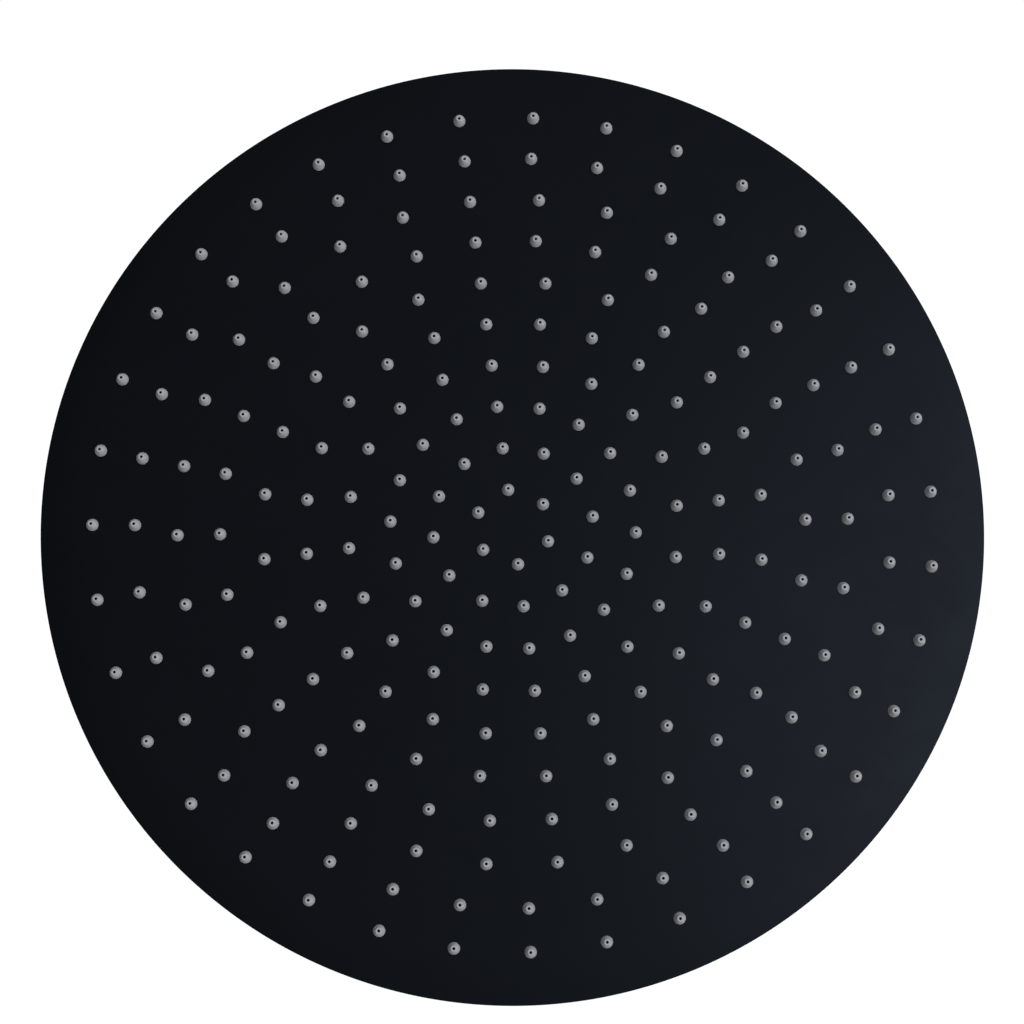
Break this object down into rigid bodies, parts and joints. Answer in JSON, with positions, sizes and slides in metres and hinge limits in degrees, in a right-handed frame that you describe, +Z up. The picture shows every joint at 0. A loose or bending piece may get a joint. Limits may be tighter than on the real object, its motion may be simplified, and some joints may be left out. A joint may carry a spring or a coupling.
{
  "type": "rain shower head",
  "caption": "Flat round overhead rain shower head with silicone nozzles in rings, hung from a threaded swivel ball inlet.",
  "frame": {"origin": "centre of the inlet socket's mouth, where the supply arm screws in", "axes": "+Z up along the inlet's axis, out of the mouth; the spray face looks along -Z; +Y is the radial line on which every ring of nozzles starts"},
  "size_m": [0.3999, 0.4, 0.063],
  "materials": {
    "black_plate": "satin black electro-coating on thin stainless sheet",
    "black_fitting": "satin black coating on turned brass",
    "nozzle_silicone": "soft mid-grey silicone, slightly satin",
    "seal_rubber": "dark moulded rubber",
    "bare_steel": "uncoated stainless steel",
    "white_plastic": "natural white acetal"
  },
  "bodies": {
    "inlet": {"ball_stud": "black_fitting", "inlet_washer": "seal_rubber", "filter_screen": "bare_steel", "flow_regulator": "white_plastic"},
    "seal": {"ball_seal": "seal_rubber"},
    "seat": {"seat_ring": "white_plastic"},
    "head": {"preload_ring": "seal_rubber", "ball_collar": "black_fitting", "inlet_hub": "black_fitting", "hub_gasket": "seal_rubber", "hub_nut": "bare_steel", "back_plate": "black_plate", "spacer_studs": "bare_steel", "face_plate": "black_plate", "nozzle_ring_01": "nozzle_silicone", "nozzle_ring_02": "nozzle_silicone", "nozzle_ring_03": "nozzle_silicone", "nozzle_ring_04": "nozzle_silicone", "nozzle_ring_05": "nozzle_silicone", "nozzle_ring_06": "nozzle_silicone", "nozzle_ring_07": "nozzle_silicone", "nozzle_ring_08": "nozzle_silicone", "nozzle_ring_09": "nozzle_silicone", "nozzle_ring_10": "nozzle_silicone"}
  },
  "joints": [
    {"name": "tilt_x", "type": "hinge", "parent": "inlet", "child": "seal", "pos_m": [0, 0, -0.031], "axis": [1, 0, 0], "range_deg": [-15, 15]},
    {"name": "tilt_y", "type": "hinge", "parent": "seal", "child": "seat", "pos_m": [0, 0, -0.031], "axis": [0, 1, 0], "range_deg": [-15, 15]},
    {"name": "swivel", "type": "hinge", "parent": "seat", "child": "head", "pos_m": [0, 0, -0.031], "axis": [0, 0, 1], "continuous": true}
  ]
}
